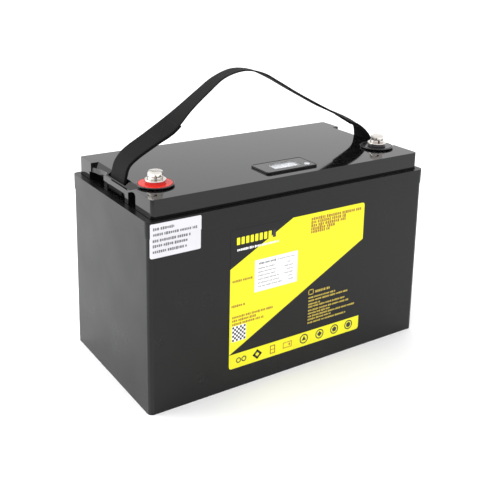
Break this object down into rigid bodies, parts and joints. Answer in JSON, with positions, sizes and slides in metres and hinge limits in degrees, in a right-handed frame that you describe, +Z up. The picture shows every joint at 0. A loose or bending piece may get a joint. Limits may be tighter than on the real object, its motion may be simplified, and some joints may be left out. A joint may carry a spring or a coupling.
{
  "type": "deep cycle battery",
  "caption": "Twelve-volt deep cycle battery in a black plastic case with a webbing carry strap, bolted terminals, a charge display with push button and a lithium cell pack inside.",
  "frame": {"origin": "centre of the case's bottom face", "axes": "+Z up, X along the case with the positive terminal at -X, Y through the case with the labelled face at -Y"},
  "size_m": [0.33, 0.1721, 0.297],
  "materials": {
    "abs_black": "gloss moulded",
    "webbing": "woven nylon",
    "label_print": "printed vinyl",
    "label_white": "printed paper",
    "red_plastic": "gloss",
    "black_plastic": "satin",
    "nickel": "bright nickel plate",
    "brass": "machined",
    "steel": "bright zinc",
    "copper": "bare copper",
    "rubber": "matt",
    "clear_window": "clear",
    "screen": "satin",
    "white_plastic": "satin",
    "circuit_board": "solder mask",
    "cell_can": "blue sleeve",
    "fibre_board": "glass fibre board",
    "aluminium": "extruded",
    "foam": "closed-cell foam",
    "red_cable": "silicone",
    "black_cable": "silicone"
  },
  "bodies": {
    "battery": {"case": "abs_black", "lid": "abs_black", "lid_seal": "rubber", "front_label": "label_print", "corner_label": "label_white", "strap_loop_left": "webbing", "strap_loop_right": "webbing", "strap_rods": "black_plastic", "positive_collar": "black_plastic", "positive_disc": "red_plastic", "positive_post": "nickel", "negative_collar": "black_plastic", "negative_disc": "black_plastic", "negative_post": "nickel", "display_gasket": "rubber", "display_bezel": "black_plastic", "display_window": "clear_window", "display_screen": "screen", "display_backlight": "white_plastic", "display_board": "circuit_board", "button_switch": "black_plastic", "cell_1": "cell_can", "cell_2": "cell_can", "cell_3": "cell_can", "cell_4": "cell_can", "cell_terminals": "aluminium", "cell_sheets": "fibre_board", "cell_links": "copper", "cell_nuts": "steel", "end_plates": "fibre_board", "pack_bands": "webbing", "top_board": "fibre_board", "bms_board": "circuit_board", "bms_transistors": "black_plastic", "bms_heat_sink": "aluminium", "bms_standoffs": "brass", "bms_screws": "steel", "balance_socket": "white_plastic", "balance_leads": "red_cable", "temperature_probe": "black_cable", "cable_lugs": "copper", "lug_bolts": "steel", "positive_cable": "red_cable", "negative_cable": "black_cable", "bms_cable": "black_cable", "display_cable": "black_cable", "base_pad": "foam", "end_foam": "foam"},
    "strap": {"carry_strap": "webbing"},
    "positive_washers": {"positive_spring_washer": "nickel", "positive_flat_washer": "nickel"},
    "positive_screw": {"positive_bolt": "nickel"},
    "negative_washers": {"negative_spring_washer": "nickel", "negative_flat_washer": "nickel"},
    "negative_screw": {"negative_bolt": "nickel"},
    "button": {"display_button": "white_plastic", "switch_plunger": "black_plastic"}
  },
  "joints": [
    {"name": "strap_swing", "type": "hinge", "parent": "battery", "child": "strap", "pos_m": [0, 0, 0.207], "axis": [1, 0, 0], "range_deg": [-35, 35]},
    {"name": "positive_bolt_lift", "type": "slide", "parent": "battery", "child": "positive_washers", "axis": [0, 0, 1], "range_m": [0, 0.00376]},
    {"name": "positive_bolt_turn", "type": "hinge", "parent": "positive_washers", "child": "positive_screw", "pos_m": [-0.1349, -0.0422, 0.2136], "axis": [0, 0, 1], "range_deg": [0, 1080]},
    {"name": "negative_bolt_lift", "type": "slide", "parent": "battery", "child": "negative_washers", "axis": [0, 0, 1], "range_m": [0, 0.00376]},
    {"name": "negative_bolt_turn", "type": "hinge", "parent": "negative_washers", "child": "negative_screw", "pos_m": [0.1349, -0.0422, 0.2136], "axis": [0, 0, 1], "range_deg": [0, 1080]},
    {"name": "button_press", "type": "slide", "parent": "battery", "child": "button", "axis": [0, 0, -1], "range_m": [0, 0.0005], "stiffness_N_per_m": 400}
  ],
  "couplings": [
    {"joint": "positive_bolt_lift", "follows": "positive_bolt_turn", "m_per_rad": 0.00019894},
    {"joint": "negative_bolt_lift", "follows": "negative_bolt_turn", "m_per_rad": 0.00019894}
  ]
}
